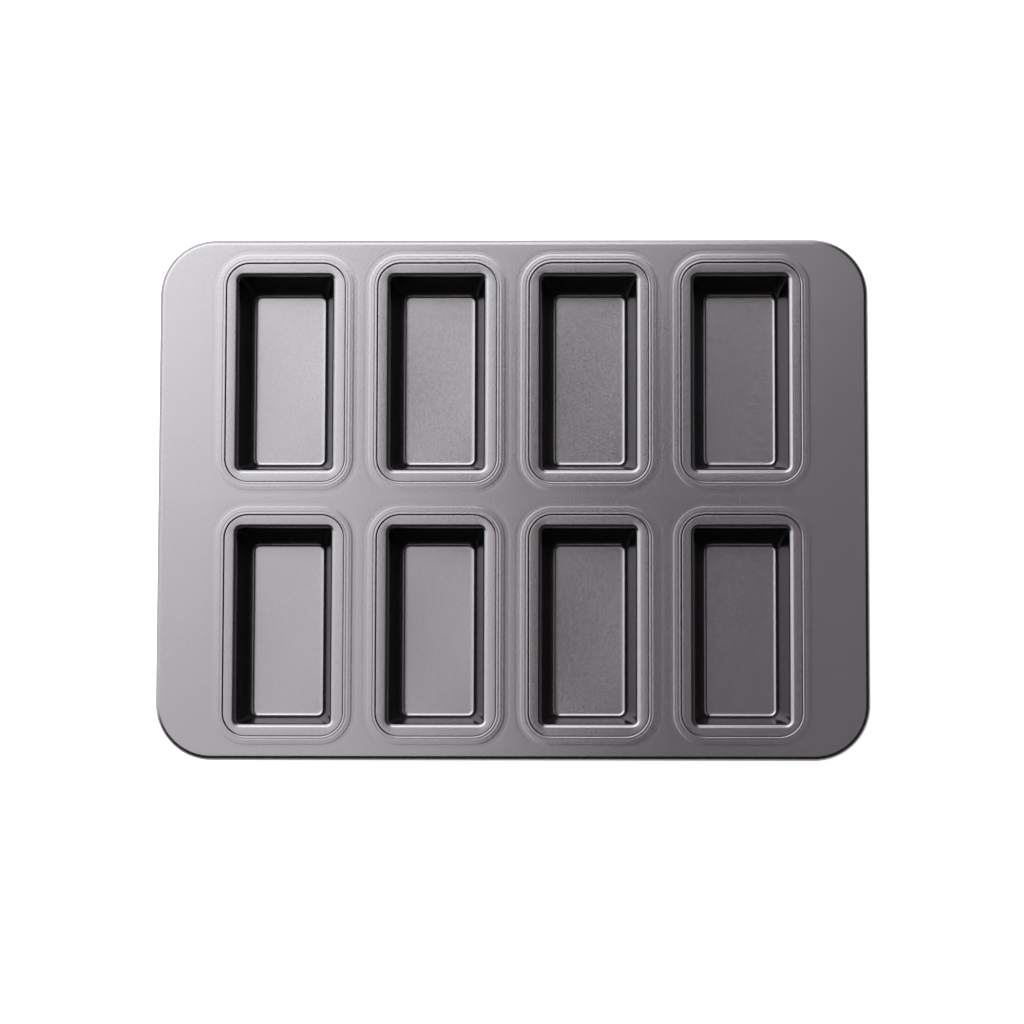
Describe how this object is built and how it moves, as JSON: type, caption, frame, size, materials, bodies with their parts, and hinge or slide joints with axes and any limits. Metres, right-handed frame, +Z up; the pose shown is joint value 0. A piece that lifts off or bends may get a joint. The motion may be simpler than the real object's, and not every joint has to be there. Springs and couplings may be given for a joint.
{
  "type": "mini loaf pan",
  "caption": "Rectangular mini loaf pan: drawn, tapered loaf cups lapped and welded under the openings of a flat dark non-stick deck with rounded corners and a wired, rolled rim.",
  "frame": {"origin": "on the table, under the middle of the pan", "axes": "+X along the pan's long side, +Y towards the back row of cups, +Z up out of the cups"},
  "size_m": [0.381, 0.2804, 0.0343],
  "materials": {
    "deck_coating": "satin graphite non-stick coating on steel sheet",
    "cup_coating": "satin graphite non-stick coating on drawn steel sheet",
    "wire_steel": "bare drawn wire"
  },
  "bodies": {
    "root": {"deck_panel": "deck_coating", "rim_wire": "wire_steel", "loaf_cup_back_1": "cup_coating", "loaf_cup_back_2": "cup_coating", "loaf_cup_back_3": "cup_coating", "loaf_cup_back_4": "cup_coating", "loaf_cup_front_1": "cup_coating", "loaf_cup_front_2": "cup_coating", "loaf_cup_front_3": "cup_coating", "loaf_cup_front_4": "cup_coating"}
  },
  "joints": []
}
